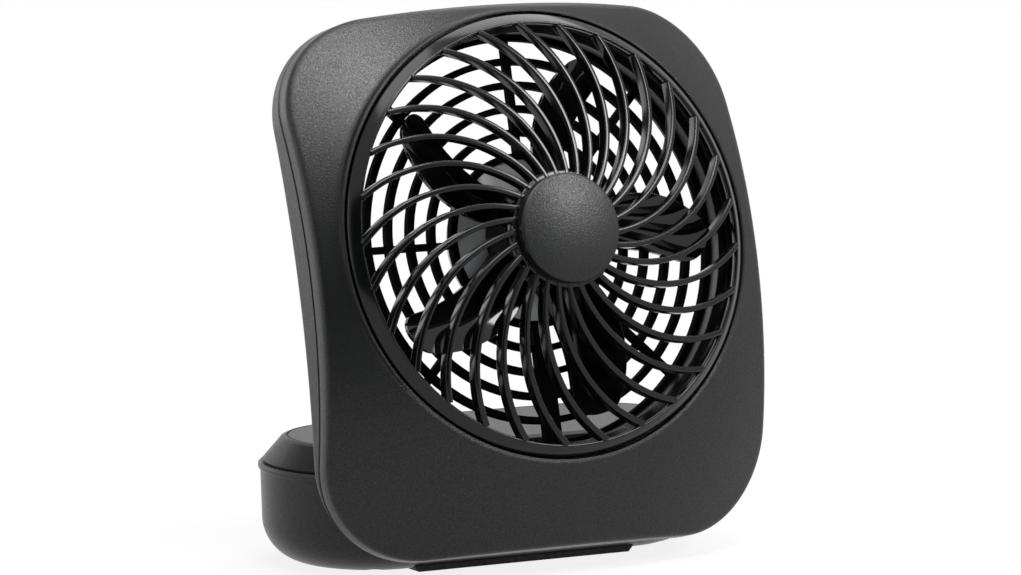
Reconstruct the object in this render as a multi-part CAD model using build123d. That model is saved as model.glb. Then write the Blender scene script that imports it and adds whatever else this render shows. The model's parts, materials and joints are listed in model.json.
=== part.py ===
"""Rechargeable tabletop fan: a square crowned head that leans and folds on a round-ended battery base."""
import os
from math import atan2, cos, radians, sin, sqrt, tan

from build123d import *

# Head shell, seen square on along the fan axis
HEAD_WIDTH = 163.6
SIDE_FRAME = 9.0
TOP_FRAME = 4.8
CHIN = 27.8
HEAD_CORNER = 34.0
TOP_BOW = 800.0
CROWN_RISE = 18.0
CROWN_DROP = 8.0
BACK_DISH = 9.46
HEAD_REAR = 23.1
BEZEL_DEPTH = 5.4
PANEL = 3.0
WALL = 2.6
FRONT_EDGE = 2.0
REAR_EDGE = 2.5
PARTING_WIDTH = 1.0
PARTING_INSET = 0.9

# How the head stands: the lean of its axis, and its lower edge above the floor
LEAN = 14.7
CHIN_HEIGHT = 12.7

# Front grille
RING_WIDTH = 3.95
RING_RISE = 4.0
RING_EDGE = 1.5
RING_GROOVE = 0.8
RING_SKIRT = 2.2
DOME_RISE = 13.0
LIP_WIDTH = 0.8
LIP_SUNK = 0.3
OPENING_SUNK = 2.2
RIB_COUNT = 29
RIB_WIDTH = 1.9
RIB_DEPTH = 4.0
RIB_ARC = 46.0
RIB_START = 3.6
GRILLE_HUB_RADIUS = 19.2
HUB_CAP_RADIUS = 17.9
HUB_CAP_HEIGHT = 4.6
HUB_CAP_CROWN = 1.8
HUB_CAP_EDGE = 0.8
HUB_PEG_RADIUS = 3.0
HUB_PEG_LENGTH = 4.0
SEAT_DEPTH = 4.0
SEAT_WIDTH = 3.9
SEAT_THICK = 2.0

# Rear grille, set into the back of the shroud
SHROUD_INSET = 5.2
GRILLE_SEAT_STEP = 1.5
REAR_GRILLE_FRONT = -12.2
REAR_GRILLE_THICK = 3.0
REAR_RINGS = 5
REAR_RING_FIRST = 27.8
REAR_RING_OUT = 8.4
REAR_RING_WIDTH = 2.2
REAR_RIM_WIDTH = 3.0
REAR_SPOKES = 8
SPOKE_WIDTH = 2.2
CHANNEL_WIDTH = 6.0
CHANNEL_WALL = 1.0
LEAD_RADIUS = 0.9
LEAD_TAIL = 3.0

# Motor with its mount and cover
MOUNT_LEDGE = 2.2
MOUNT_THICK = 1.6
MOTOR_RADIUS = 12.2
MOTOR_LENGTH = 15.6
MOTOR_EDGE = 1.0
END_CAP_LENGTH = 3.0
CUP_WALL = 1.8
CUP_LIP = 1.4
CUP_TAIL = 4.7
BUSH_RADIUS = 3.0
BUSH_LENGTH = 1.5
SHAFT_RADIUS = 1.0
SHAFT_INSIDE = 9.0
SHAFT_OUTSIDE = 7.4
COVER_SUNK = 0.5
COVER_TAPER = 3.5
COVER_WALL = 1.8
COVER_EDGE = 1.2
MOTOR_SCREWS = 3
MOTOR_SCREW_CIRCLE = 20.5
MOTOR_SCREW_RADIUS = 0.9
MOTOR_SCREW_HEAD_RADIUS = 1.7
MOTOR_SCREW_HEAD = 1.1
MOTOR_POST_RADIUS = 2.6
MOTOR_POST_LENGTH = 3.6

# Impeller; each blade is laid out along +X with its (clockwise, anticlockwise) edges
TIP_CLEAR = 6.8
IMPELLER_HUB_RADIUS = 16.6
IMPELLER_HUB_WALL = 1.7
IMPELLER_HUB_FRONT = 3.0
IMPELLER_HUB_DEPTH = 14.8
IMPELLER_BOSS_RADIUS = 3.5
BLADE_COUNT = 5
BLADE_TURN = 66.0
BLADE_BEHIND_RIBS = 7.2
BLADE_THICK = 1.6
BLADE_CAMBER = 2.4
BLADE_SHEET_HALF = 18.0
BLADE_ROOT_EDGES = (-5.0, 9.0)
BLADE_MIDDLE_SHARE = 0.658
BLADE_MIDDLE_EDGES = (-2.5, 15.0)
BLADE_TIP_EDGES = (-8.5, 5.5)
BLADE_TIP_ROUND = 6.0
BLADE_PITCH_ROOT = 32.0
BLADE_PITCH_MIDDLE = 28.0
BLADE_PITCH_TIP = 20.0

# Base
BASE_HALF_STRAIGHT = 42.8
BASE_RADIUS = 36.4
BASE_DRAFT = 0.6
RIM_PROUD = 0.6
RIM_HEIGHT = 2.4
LID_HEIGHT = 8.5
CELL_HEADROOM = 3.9
BASE_FLOOR = 0.6
BASE_BOTTOM_ROUND = 15.0
BASE_WALL = 2.0
LID_GROOVE = 0.8
LID_SETBACK = 1.4
LID_CHAMFER = 6.6
LID_EDGE = 0.8
PLATEAU_LINE_INSET = 1.3
PLATEAU_LINE = 0.6
FOOT_LENGTH = 85.0
FOOT_WIDTH = 7.0
FOOT_IN = 12.6
FOOT_CHAMFER = 3.0
FOOT_HEIGHT = 3.4

# Tilt hinge
HINGE_BACK = 5.9
HINGE_IN = 5.8
HINGE_SPREAD = 40.0
LUG_WIDTH = 12.0
LUG_RADIUS = 4.0
LUG_FOOT = 8.0
EAR_WIDTH = 3.2
SIDE_PLAY = 0.5
PIN_RADIUS = 1.5

# Power: cells, charger, jack and switch
CELL_RADIUS = 16.6
CELL_LENGTH = 58.5
CELL_NIPPLE_RADIUS = 4.75
CELL_NIPPLE = 1.5
CELL_SHOULDER = 1.5
TAB_THICK = 0.4
TAB_SIZE = 9.0
CRADLE_THICK = 2.0
CRADLE_HEIGHT = 16.0
CRADLE_PLACES = (15.0, 48.0)
BOARD_LENGTH = 34.0
BOARD_WIDTH = 11.0
BOARD_THICK = 1.6
BOARD_CENTRE = 10.0
BOARD_BACK = 3.4
BOARD_POST = 7.0
BOARD_POST_RADIUS = 1.5
COIL_RADIUS = 3.5
COIL_HEIGHT = 4.0
CHIP_LENGTH = 6.0
CHIP_WIDTH = 5.0
CHIP_HEIGHT = 1.5
JACK_PLACE = -22.0
JACK_HEIGHT = 18.0
JACK_RADIUS = 4.0
JACK_BORE = 2.9
JACK_BORE_DEPTH = 9.0
JACK_PIN = 1.0
JACK_PIN_SUNK = 1.0
JACK_BODY = 11.0
JACK_BACK = 1.2
JACK_SLEEVE = 3.2
SWITCH_PLACE = 18.0
SWITCH_HEIGHT = 21.0
SWITCH_TRAVEL = 4.0
SWITCH_BODY_LENGTH = 26.0
SWITCH_BODY_HEIGHT = 10.0
SWITCH_BODY_DEPTH = 8.0
KNOB_LENGTH = 9.0
KNOB_HEIGHT = 7.0
KNOB_PROUD = 2.6
KNOB_EDGE = 0.6
KNOB_GROOVES = 3
KNOB_GROOVE_WIDTH = 0.8
KNOB_GROOVE_DEPTH = 0.7
STEM_LENGTH = 4.0
STEM_HEIGHT = 3.0
STEM_DEPTH = 4.0

# Screws
SHELL_SCREW_UPPER = (19.0, 18.0)
SHELL_SCREW_LOWER = (14.0, 42.6)
SHELL_BOSS = 4.0
SHELL_PAD = 2.5
SHELL_PAD_MARGIN = 1.0
COVER_SCREW_END = 10.0
COVER_SCREW_ROOM = 1.0
COVER_BOSS = 3.9
COVER_BOSS_TOP = 24.0
COVER_SCREW_BITE = 6.0
SCREW_RADIUS = 1.4
SCREW_HEAD_RADIUS = 2.7
SCREW_HEAD = 1.8
SCREW_LENGTH = 12.0

# Clearances, and how far a cut runs past the face it opens
RUN_CLEAR = 0.05
FIT_CLEAR = 0.1
GAP = 0.3
PAST = 1.0

# Worked-out places in the head, where z runs forward along the fan axis
RING_RADIUS = HEAD_WIDTH / 2 - SIDE_FRAME
RING_INNER = RING_RADIUS - RING_WIDTH
OPENING_RADIUS = RING_RADIUS + RING_GROOVE
HEAD_ABOVE_AXIS = RING_RADIUS + TOP_FRAME
HEAD_BELOW_AXIS = RING_RADIUS + CHIN
CROWN_RADIUS = ((HEAD_WIDTH / 2)**2 + CROWN_RISE**2) / (2 * CROWN_RISE)
BACK_RADIUS = ((HEAD_WIDTH / 2)**2 + BACK_DISH**2) / (2 * BACK_DISH)
BACK_MIDDLE = (HEAD_ABOVE_AXIS - HEAD_BELOW_AXIS) / 2
BALL_CENTRE = -OPENING_SUNK - sqrt(CROWN_RADIUS**2 - OPENING_RADIUS**2 - CROWN_DROP**2)
CROWN_TOP = CROWN_RADIUS + BALL_CENTRE
DOME_RADIUS = (RING_INNER**2 + (DOME_RISE - RING_RISE)**2) / (2 * (DOME_RISE - RING_RISE))
DOME_CENTRE = DOME_RISE - DOME_RADIUS
CAP_RADIUS = (HUB_CAP_RADIUS**2 + HUB_CAP_CROWN**2) / (2 * HUB_CAP_CROWN)
CAP_TOP = DOME_RISE + HUB_CAP_HEIGHT
BACK_TOP = BACK_DISH - HEAD_REAR
DEEPEST = -2 * HEAD_REAR
SEAT_RADIUS = OPENING_RADIUS - SEAT_WIDTH
SEAT_FLOOR = -SEAT_DEPTH - SEAT_THICK
REAR_GRILLE_BACK = REAR_GRILLE_FRONT - REAR_GRILLE_THICK
SHROUD_RADIUS = RING_RADIUS - SHROUD_INSET
REAR_RIM_RADIUS = SHROUD_RADIUS + GRILLE_SEAT_STEP
SHROUD_OUTER = REAR_RIM_RADIUS + WALL
REAR_RING_PITCH = (SHROUD_RADIUS - REAR_RING_OUT - REAR_RING_FIRST) / (REAR_RINGS - 1)
MOUNT_RADIUS = REAR_RING_FIRST - REAR_RING_WIDTH / 2 - FIT_CLEAR
MOUNT_BACK = REAR_GRILLE_BACK + LEAD_RADIUS
MOUNT_FRONT = MOUNT_BACK + MOUNT_THICK
COVER_RADIUS = REAR_RING_FIRST + REAR_RING_WIDTH / 2
COVER_BACK = -HEAD_REAR + COVER_SUNK
COVER_FLOOR = COVER_BACK + COVER_WALL
MOTOR_BACK = COVER_FLOOR
MOTOR_FRONT = MOTOR_BACK + MOTOR_LENGTH
MOTOR_POST_TOP = COVER_FLOOR + MOTOR_POST_LENGTH
MOTOR_SCREW_SEAT = COVER_BACK + MOTOR_SCREW_HEAD + GAP
CUP_INNER = MOTOR_RADIUS + RUN_CLEAR
CUP_OUTER = CUP_INNER + CUP_WALL
BUSH_FRONT = MOTOR_FRONT + BUSH_LENGTH
SHAFT_BACK = MOTOR_FRONT - SHAFT_INSIDE
SHAFT_FRONT = MOTOR_FRONT + SHAFT_OUTSIDE
HUB_BACK = IMPELLER_HUB_FRONT - IMPELLER_HUB_DEPTH
IMPELLER_RADIUS = SHROUD_RADIUS - TIP_CLEAR
BLADE_MIDDLE_RADIUS = BLADE_MIDDLE_SHARE * IMPELLER_RADIUS
RIBS_AT_TIP = DOME_CENTRE + sqrt(DOME_RADIUS**2 - IMPELLER_RADIUS**2) - RIB_DEPTH
BLADE_PLANE = RIBS_AT_TIP - BLADE_BEHIND_RIBS

# Worked-out places in the base
CELL_HEIGHT = BASE_FLOOR + BASE_WALL + GAP + CELL_RADIUS
BASE_TOP = CELL_HEIGHT + CELL_RADIUS + CELL_HEADROOM + BASE_WALL
TUB_TOP = BASE_TOP - LID_HEIGHT
FOOT_OUT = BASE_RADIUS - FOOT_IN
BOARD_LINE = BASE_RADIUS - BASE_WALL - BOARD_BACK - BOARD_WIDTH / 2
BOARD_LOW = BASE_FLOOR + BASE_WALL + BOARD_POST
COVER_SCREW_SEAT = COVER_BOSS_TOP - SCREW_LENGTH + COVER_SCREW_BITE
COVER_SCREW_PLACE = (BASE_HALF_STRAIGHT + COVER_SCREW_END, CELL_RADIUS + COVER_BOSS + COVER_SCREW_ROOM)
LID_FOOT = BASE_RADIUS + RIM_PROUD - LID_SETBACK

# The hinge axis, first in the base and then in the head's own axes
HINGE_Y = HINGE_IN - BASE_RADIUS - RIM_PROUD
HINGE_HEIGHT = BASE_TOP - LUG_RADIUS
AXIS_HEIGHT = CHIN_HEIGHT + HEAD_BELOW_AXIS * cos(radians(LEAN))
HINGE_Z = -HEAD_REAR - HINGE_BACK
HINGE_V = (HINGE_HEIGHT - AXIS_HEIGHT - HINGE_Z * sin(radians(LEAN))) / cos(radians(LEAN))
AXIS_FORWARD = HINGE_V * sin(radians(LEAN)) - HINGE_Z * cos(radians(LEAN)) - HINGE_Y

head_plane = Plane(
    origin=(0, -AXIS_FORWARD, AXIS_HEIGHT),
    x_dir=(1, 0, 0),
    z_dir=(0, -cos(radians(LEAN)), sin(radians(LEAN))),
)


def ball(drop=0.0):
    """The sphere that the crowned front lies on, pushed back along the fan axis by drop."""
    return Pos(0, -CROWN_DROP, BALL_CENTRE - drop) * Rot(0, 90, 0) * Sphere(CROWN_RADIUS)


def dome_ball(drop=0.0):
    """The flatter sphere that the grille's ribs lie on, pushed back along the fan axis by drop."""
    return Pos(0, 0, DOME_CENTRE - drop) * Rot(0, 90, 0) * Sphere(DOME_RADIUS)


def back_ball(rise=0.0):
    """The sphere that the dished back of the head lies on, raised along the fan axis by rise."""
    return Pos(0, BACK_MIDDLE, BACK_TOP - BACK_RADIUS + rise) * Rot(0, 90, 0) * Sphere(BACK_RADIUS)


def back_at(x, y):
    """Depth of the dished back at one place."""
    return BACK_TOP - BACK_RADIUS + sqrt(BACK_RADIUS**2 - x**2 - (y - BACK_MIDDLE)**2)


def disc(radius, low, high):
    """A round slab about the z axis between two depths."""
    return Pos(0, 0, low) * Cylinder(radius, high - low, align=(Align.CENTER, Align.CENTER, Align.MIN))


def tube(outer, inner, low, high):
    return disc(outer, low, high) - disc(inner, low - PAST, high + PAST)


def block(x_range, y_range, z_range):
    """A box from its limits along each axis."""
    size = [limits[1] - limits[0] for limits in (x_range, y_range, z_range)]
    corner = (x_range[0], y_range[0], z_range[0])
    return Pos(*corner) * Box(*size, align=(Align.MIN, Align.MIN, Align.MIN))


def about(centre, size):
    """The limits of a length centred on a place."""
    return (centre - size / 2, centre + size / 2)


def ring_of(shape, count, start=0.0):
    """Copies of a shape spaced evenly about the z axis."""
    return [Rot(0, 0, start + 360 * turn / count) * shape for turn in range(count)]


def in_head(shape):
    """Carry a shape from the head's own axes to where the leaning head stands."""
    return head_plane.location * shape


def head_outline(inset=0.0):
    """The rounded square of the head with its bowed top edge, drawn in by inset."""
    half = HEAD_WIDTH / 2 - inset
    top = HEAD_ABOVE_AXIS - inset
    bottom = -HEAD_BELOW_AXIS + inset
    bow = TOP_BOW - inset
    shoulder = top - bow + sqrt(bow**2 - half**2)
    edges = [
        Line((-half, bottom), (half, bottom)),
        Line((half, bottom), (half, shoulder)),
        ThreePointArc((half, shoulder), (0, top), (-half, shoulder)),
        Line((-half, shoulder), (-half, bottom)),
    ]
    face = make_face(edges)
    return fillet(face.vertices(), HEAD_CORNER - inset)


def head_prism(low, high, inset=0.0):
    return Pos(0, 0, low) * extrude(head_outline(inset), high - low)


def shell_screw_spots():
    """Places of the shell screws, drawn in from the sides and from the top or bottom edge."""
    half = HEAD_WIDTH / 2
    upper = (half - SHELL_SCREW_UPPER[0], HEAD_ABOVE_AXIS - SHELL_SCREW_UPPER[1])
    lower = (half - SHELL_SCREW_LOWER[0], SHELL_SCREW_LOWER[1] - HEAD_BELOW_AXIS)
    return [(side * x, y) for x, y in (upper, lower) for side in (-1, 1)]


def screw_seat(x, y):
    """Depth where the head of a shell screw bears inside its recess."""
    return back_at(x, y) + SCREW_HEAD + FIT_CLEAR


def pad_front(x, y):
    """Depth where the pad of a shell screw meets the bezel's boss."""
    return back_at(x, y) + WALL + SHELL_PAD


def front_bezel():
    """Crowned front frame: panel, short skirt, lip and seat for the grille and four screw bosses."""
    slab = head_prism(DEEPEST, CROWN_TOP + PAST) & ball()
    slab = fillet(slab.faces().sort_by(Axis.Z)[-1].edges(), FRONT_EDGE)
    shell = slab - ball(BEZEL_DEPTH) - (head_prism(DEEPEST, CROWN_TOP, WALL) & ball(PANEL))
    collar = disc(OPENING_RADIUS + WALL, SEAT_FLOOR, CROWN_TOP) & ball(PANEL / 2)
    bosses = [Pos(x, y, 0) * disc(SHELL_BOSS, pad_front(x, y), 0) & ball(PANEL / 2)
              for x, y in shell_screw_spots()]
    lip = disc(OPENING_RADIUS + LIP_WIDTH, SEAT_FLOOR, -LIP_SUNK)
    bezel = shell + collar + lip + bosses
    bezel -= disc(OPENING_RADIUS, -SEAT_DEPTH, CROWN_TOP + PAST)
    bezel -= disc(SEAT_RADIUS, SEAT_FLOOR - PAST, 0) + disc(SHROUD_OUTER + FIT_CLEAR, DEEPEST, SEAT_FLOOR)
    for x, y in shell_screw_spots():
        bezel -= Pos(x, y, 0) * disc(SCREW_RADIUS, DEEPEST, screw_seat(x, y) + SCREW_LENGTH)
    return bezel


def rib_windows():
    """The openings between the spiral ribs, seen square on; each rib is an arc through the fan axis."""
    band = Circle(RIB_ARC + RIB_WIDTH / 2) - Circle(RIB_ARC - RIB_WIDTH / 2)
    upper = Pos(0, RING_INNER) * Rectangle(3 * RING_INNER, 2 * RING_INNER)
    rib = Pos(-RIB_ARC, 0) * band & upper
    windows = Circle(RING_INNER) - Circle(GRILLE_HUB_RADIUS)
    return windows - ring_of(rib, RIB_COUNT, RIB_START)


def ring_profile():
    """Half-section of the grille's edge ring: a slope that falls outward to a rounded edge, and a skirt."""
    skirt = RING_RADIUS - RING_SKIRT
    under = RING_RISE - RIB_DEPTH
    slope = [(RING_INNER, under), (RING_INNER, RING_RISE), (RING_RADIUS, 0)]
    foot = [(RING_RADIUS, -SEAT_DEPTH), (skirt, -SEAT_DEPTH), (skirt, under - RING_SKIRT)]
    face = upright(outline_of(slope + foot))
    corner = face.vertices().filter_by_position(Axis.Z, -RUN_CLEAR, RUN_CLEAR).sort_by(Axis.X)[-1]
    return fillet(corner, RING_EDGE)


def front_grille():
    """Domed grille: sloping edge ring with a skirt, and spiral ribs and a hub disc on one sphere."""
    plan = Circle(RING_INNER + FIT_CLEAR) - rib_windows()
    column = Pos(0, 0, -SEAT_DEPTH) * extrude(plan, SEAT_DEPTH + DOME_RISE + PAST)
    dome = column & dome_ball() - dome_ball(RIB_DEPTH)
    ring = revolve(ring_profile(), Axis.Z)
    peg_hole = disc(HUB_PEG_RADIUS + FIT_CLEAR, 0, DOME_RISE + PAST)
    return dome + ring - peg_hole


def hub_cap():
    """Plain round cap, lightly crowned with a softened edge, pegged into the grille's hub disc."""
    crown = Pos(0, 0, CAP_TOP - CAP_RADIUS) * Rot(0, 90, 0) * Sphere(CAP_RADIUS)
    cap = disc(HUB_CAP_RADIUS, 0, CAP_TOP) & crown
    cap = fillet(cap.faces().sort_by(Axis.Z)[-1].edges(), HUB_CAP_EDGE)
    cap -= dome_ball()
    return cap + disc(HUB_PEG_RADIUS, DOME_RISE - HUB_PEG_LENGTH, CAP_TOP - HUB_CAP_CROWN)


def lug():
    """One hinge lug on the back of the head, bored for its pin."""
    side = Plane(origin=(0, 0, 0), x_dir=(0, 1, 0), z_dir=(1, 0, 0))
    eye = Pos(HINGE_V, HINGE_Z) * Circle(LUG_RADIUS)
    foot = Pos(HINGE_V, back_at(HINGE_SPREAD, HINGE_V) + WALL / 2) * Rectangle(LUG_FOOT, WALL / 2)
    bore = Pos(HINGE_V, HINGE_Z) * Circle(PIN_RADIUS + RUN_CLEAR)
    outline = make_hull(eye.edges() + foot.edges()) - bore
    return Pos(-LUG_WIDTH / 2, 0, 0) * extrude(side * outline, LUG_WIDTH)


def lead_room(inner, outer, low, high):
    """The straight way for the motor lead, down from the motor, between two radii."""
    half = CHANNEL_WIDTH / 2 - CHANNEL_WALL
    return block((-half, half), (-outer, -inner), (low, high))


def rear_housing():
    """Back shell: side wall with a parting step, dished back, shroud, screw pads and hinge lugs."""
    prism = head_prism(DEEPEST, CROWN_TOP) - back_ball()
    prism = fillet(prism.faces().sort_by(Axis.Z)[0].edges(), REAR_EDGE)
    tongue = head_prism(DEEPEST, CROWN_TOP, PARTING_INSET) & ball(BEZEL_DEPTH) - back_ball(REAR_EDGE)
    outside = (prism & ball(BEZEL_DEPTH + PARTING_WIDTH)) + tongue
    shell = outside - (head_prism(DEEPEST, CROWN_TOP, WALL) - back_ball(WALL))
    shroud = disc(SHROUD_OUTER, DEEPEST, SEAT_FLOOR) - back_ball()
    pads = [Pos(x, y, 0) * disc(SHELL_BOSS + SHELL_PAD_MARGIN, DEEPEST, pad_front(x, y)) - back_ball()
            for x, y in shell_screw_spots()]
    lugs = [Pos(side * HINGE_SPREAD, 0, 0) * lug() for side in (-1, 1)]
    housing = shell + shroud + pads + lugs
    housing -= disc(SHROUD_RADIUS, DEEPEST, CROWN_TOP)
    housing -= disc(REAR_RIM_RADIUS, DEEPEST, REAR_GRILLE_FRONT)
    housing -= lead_room(SHROUD_RADIUS, SHROUD_OUTER + PAST, MOUNT_BACK - 2 * LEAD_RADIUS - GAP, MOUNT_BACK)
    for x, y in shell_screw_spots():
        housing -= Pos(x, y, 0) * disc(SCREW_HEAD_RADIUS + GAP, DEEPEST, screw_seat(x, y))
        housing -= Pos(x, y, 0) * disc(SCREW_RADIUS + FIT_CLEAR, DEEPEST, pad_front(x, y) + PAST)
    return housing


def rear_grille():
    """Concentric rings on spokes, with a ledge for the motor mount and a wide spoke grooved for the lead."""
    rim = REAR_RIM_RADIUS - FIT_CLEAR
    reach = rim - REAR_RIM_WIDTH / 2
    plan = Circle(rim) - Circle(rim - REAR_RIM_WIDTH)
    for turn in range(REAR_RINGS):
        radius = REAR_RING_FIRST + turn * REAR_RING_PITCH
        plan += Circle(radius + REAR_RING_WIDTH / 2) - Circle(radius - REAR_RING_WIDTH / 2)
    spoke = Pos(reach / 2, 0) * Rectangle(reach, SPOKE_WIDTH)
    channel = Pos(0, -reach / 2) * Rectangle(CHANNEL_WIDTH, reach)
    plan += [arm - Circle(REAR_RING_FIRST) for arm in ring_of(spoke, REAR_SPOKES) + [channel]]
    grille = Pos(0, 0, REAR_GRILLE_BACK) * extrude(plan, REAR_GRILLE_THICK)
    ledge = tube(REAR_RING_FIRST, MOUNT_RADIUS - MOUNT_LEDGE, REAR_GRILLE_BACK, MOUNT_BACK)
    return grille + ledge - lead_room(MOTOR_RADIUS, rim + PAST, -HEAD_REAR, MOUNT_BACK)


def motor_mount():
    """Grey plate in the middle of the rear grille with a cup that grips the motor and three screw bosses."""
    plate = disc(MOUNT_RADIUS, MOUNT_BACK, MOUNT_FRONT)
    cup = disc(CUP_OUTER, MOUNT_BACK - CUP_TAIL, MOUNT_FRONT + CUP_LIP)
    boss = Pos(MOTOR_SCREW_CIRCLE, 0, 0) * disc(MOTOR_POST_RADIUS, MOTOR_POST_TOP, MOUNT_BACK)
    hole = Pos(MOTOR_SCREW_CIRCLE, 0, 0) * disc(MOTOR_SCREW_RADIUS, MOTOR_POST_TOP - PAST, MOUNT_BACK)
    mount = plate + cup + ring_of(boss, MOTOR_SCREWS, 90)
    mount -= disc(CUP_INNER, -HEAD_REAR, CROWN_TOP)
    mount -= lead_room(MOTOR_RADIUS, CUP_OUTER + PAST, MOUNT_BACK - 2 * LEAD_RADIUS - GAP, MOUNT_BACK)
    return mount - ring_of(hole, MOTOR_SCREWS, 90)


def cone(back_radius, front_radius, low, high):
    """A tapered slab about the fan axis between two depths."""
    stand = (Align.CENTER, Align.CENTER, Align.MIN)
    return Pos(0, 0, low) * Cone(back_radius, front_radius, high - low, align=stand)


def motor_cover():
    """Tapered cup that closes the back of the motor, with three screw posts and a notch for the lead."""
    cup = cone(COVER_RADIUS - COVER_TAPER, COVER_RADIUS, COVER_BACK, REAR_GRILLE_BACK)
    cup = fillet(cup.faces().sort_by(Axis.Z)[0].edges(), COVER_EDGE)
    inner = COVER_RADIUS - COVER_WALL
    cup -= cone(inner - COVER_TAPER, inner, COVER_FLOOR, REAR_GRILLE_BACK)
    post = disc(MOTOR_POST_RADIUS, COVER_FLOOR - COVER_WALL / 2, MOTOR_POST_TOP)
    recess = disc(MOTOR_SCREW_HEAD_RADIUS + GAP, COVER_BACK - PAST, MOTOR_SCREW_SEAT)
    hole = disc(MOTOR_SCREW_RADIUS + FIT_CLEAR, COVER_BACK, MOTOR_POST_TOP + PAST)
    aside = Pos(MOTOR_SCREW_CIRCLE, 0, 0)
    cup += ring_of(aside * post, MOTOR_SCREWS, 90)
    cup -= ring_of(aside * (recess + hole), MOTOR_SCREWS, 90)
    notch_low = REAR_GRILLE_BACK - LEAD_RADIUS - GAP
    return cup - lead_room(MOTOR_RADIUS, COVER_RADIUS + PAST, notch_low, MOUNT_BACK)


def motor_screws():
    """Small screws from behind that draw the motor cover and the mount together on the rear grille."""
    head = disc(MOTOR_SCREW_HEAD_RADIUS, MOTOR_SCREW_SEAT - MOTOR_SCREW_HEAD, MOTOR_SCREW_SEAT)
    shank = disc(MOTOR_SCREW_RADIUS, MOTOR_SCREW_SEAT, MOUNT_BACK - FIT_CLEAR)
    return Compound(ring_of(Pos(MOTOR_SCREW_CIRCLE, 0, 0) * (head + shank), MOTOR_SCREWS, 90))


def motor_end_cap():
    return disc(MOTOR_RADIUS, MOTOR_BACK, MOTOR_BACK + END_CAP_LENGTH)


def motor_can():
    """Drawn steel can with its front bush seat bored for the shaft."""
    can = disc(MOTOR_RADIUS, MOTOR_BACK + END_CAP_LENGTH, MOTOR_FRONT)
    can = fillet(can.faces().sort_by(Axis.Z)[-1].edges(), MOTOR_EDGE)
    return can - disc(SHAFT_RADIUS + RUN_CLEAR, SHAFT_BACK - GAP, MOTOR_FRONT + PAST)


def motor_bush():
    return tube(BUSH_RADIUS, SHAFT_RADIUS + RUN_CLEAR, MOTOR_FRONT, BUSH_FRONT)


def motor_shaft():
    return disc(SHAFT_RADIUS, SHAFT_BACK, SHAFT_FRONT)


def motor_lead():
    """Two-core lead from the motor down the groove of the wide spoke and through the shroud."""
    length = SHROUD_OUTER + LEAD_TAIL - MOTOR_RADIUS
    core = Cylinder(LEAD_RADIUS, length, align=(Align.CENTER, Align.CENTER, Align.MIN))
    laid = Pos(0, -MOTOR_RADIUS, REAR_GRILLE_BACK) * Rot(90, 0, 0) * core
    return Compound([Pos(side * (LEAD_RADIUS + RUN_CLEAR), 0, 0) * laid for side in (-1, 1)])


def blade_section(radius, edges, pitch):
    """A thin cambered strip across the blade at one radius, pitched about the middle of its two edges."""
    along = (0, cos(radians(pitch)), sin(radians(pitch)))
    plane = Plane(origin=(radius, sum(edges) / 2, BLADE_PLANE), x_dir=along, z_dir=(1, 0, 0))
    half = BLADE_SHEET_HALF
    upper = ThreePointArc((-half, 0), (0, BLADE_CAMBER), (half, 0))
    lower = ThreePointArc((half, -BLADE_THICK), (0, BLADE_CAMBER - BLADE_THICK), (-half, -BLADE_THICK))
    ends = [Line((half, 0), (half, -BLADE_THICK)), Line((-half, -BLADE_THICK), (-half, 0))]
    return plane * make_face([upper, lower] + ends)


def blade():
    """One swept paddle blade along +X: a twisted cambered sheet trimmed to its outline from the front."""
    root = IMPELLER_HUB_RADIUS - IMPELLER_HUB_WALL / 2
    sheet = loft([
        blade_section(root / 2, BLADE_ROOT_EDGES, BLADE_PITCH_ROOT),
        blade_section(BLADE_MIDDLE_RADIUS, BLADE_MIDDLE_EDGES, BLADE_PITCH_MIDDLE),
        blade_section(IMPELLER_RADIUS + PAST, BLADE_TIP_EDGES, BLADE_PITCH_TIP),
    ])
    roots = [(root, y) for y in BLADE_ROOT_EDGES]
    middles = [(BLADE_MIDDLE_RADIUS, y) for y in BLADE_MIDDLE_EDGES]
    tips = [(sqrt(IMPELLER_RADIUS**2 - y**2), y) for y in BLADE_TIP_EDGES]
    outline = make_face([
        ThreePointArc(roots[0], middles[0], tips[0]),
        ThreePointArc(tips[0], (IMPELLER_RADIUS, 0), tips[1]),
        ThreePointArc(tips[1], middles[1], roots[1]),
        Line(roots[1], roots[0]),
    ])
    outline = fillet(outline.vertices().sort_by(Axis.X)[-2:], BLADE_TIP_ROUND)
    return Pos(0, 0, -CROWN_RADIUS / 2) * extrude(outline, CROWN_RADIUS) & sheet


def impeller():
    """Five paddle blades on a cup-shaped hub that covers the front of the motor."""
    hub = disc(IMPELLER_HUB_RADIUS, HUB_BACK, IMPELLER_HUB_FRONT)
    hub = fillet(hub.faces().sort_by(Axis.Z)[-1].edges(), IMPELLER_HUB_WALL)
    cavity_front = IMPELLER_HUB_FRONT - IMPELLER_HUB_WALL
    cavity = disc(IMPELLER_HUB_RADIUS - IMPELLER_HUB_WALL, HUB_BACK - PAST, cavity_front)
    boss = disc(IMPELLER_BOSS_RADIUS, BUSH_FRONT + GAP, cavity_front + IMPELLER_HUB_WALL / 2)
    bore = disc(SHAFT_RADIUS, HUB_BACK, SHAFT_FRONT)
    wheel = hub + ring_of(blade(), BLADE_COUNT, BLADE_TURN)
    return wheel - cavity + boss - bore


def screw(length):
    """Pan screw with its head down at z 0 and its shank upward."""
    return disc(SCREW_HEAD_RADIUS, 0, SCREW_HEAD) + disc(SCREW_RADIUS, 0, SCREW_HEAD + length)


def shell_screws():
    """Four long screws through the back into the bezel's bosses."""
    fastener = screw(SCREW_LENGTH - FIT_CLEAR)
    return Compound([Pos(x, y, screw_seat(x, y) - SCREW_HEAD) * fastener for x, y in shell_screw_spots()])


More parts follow.
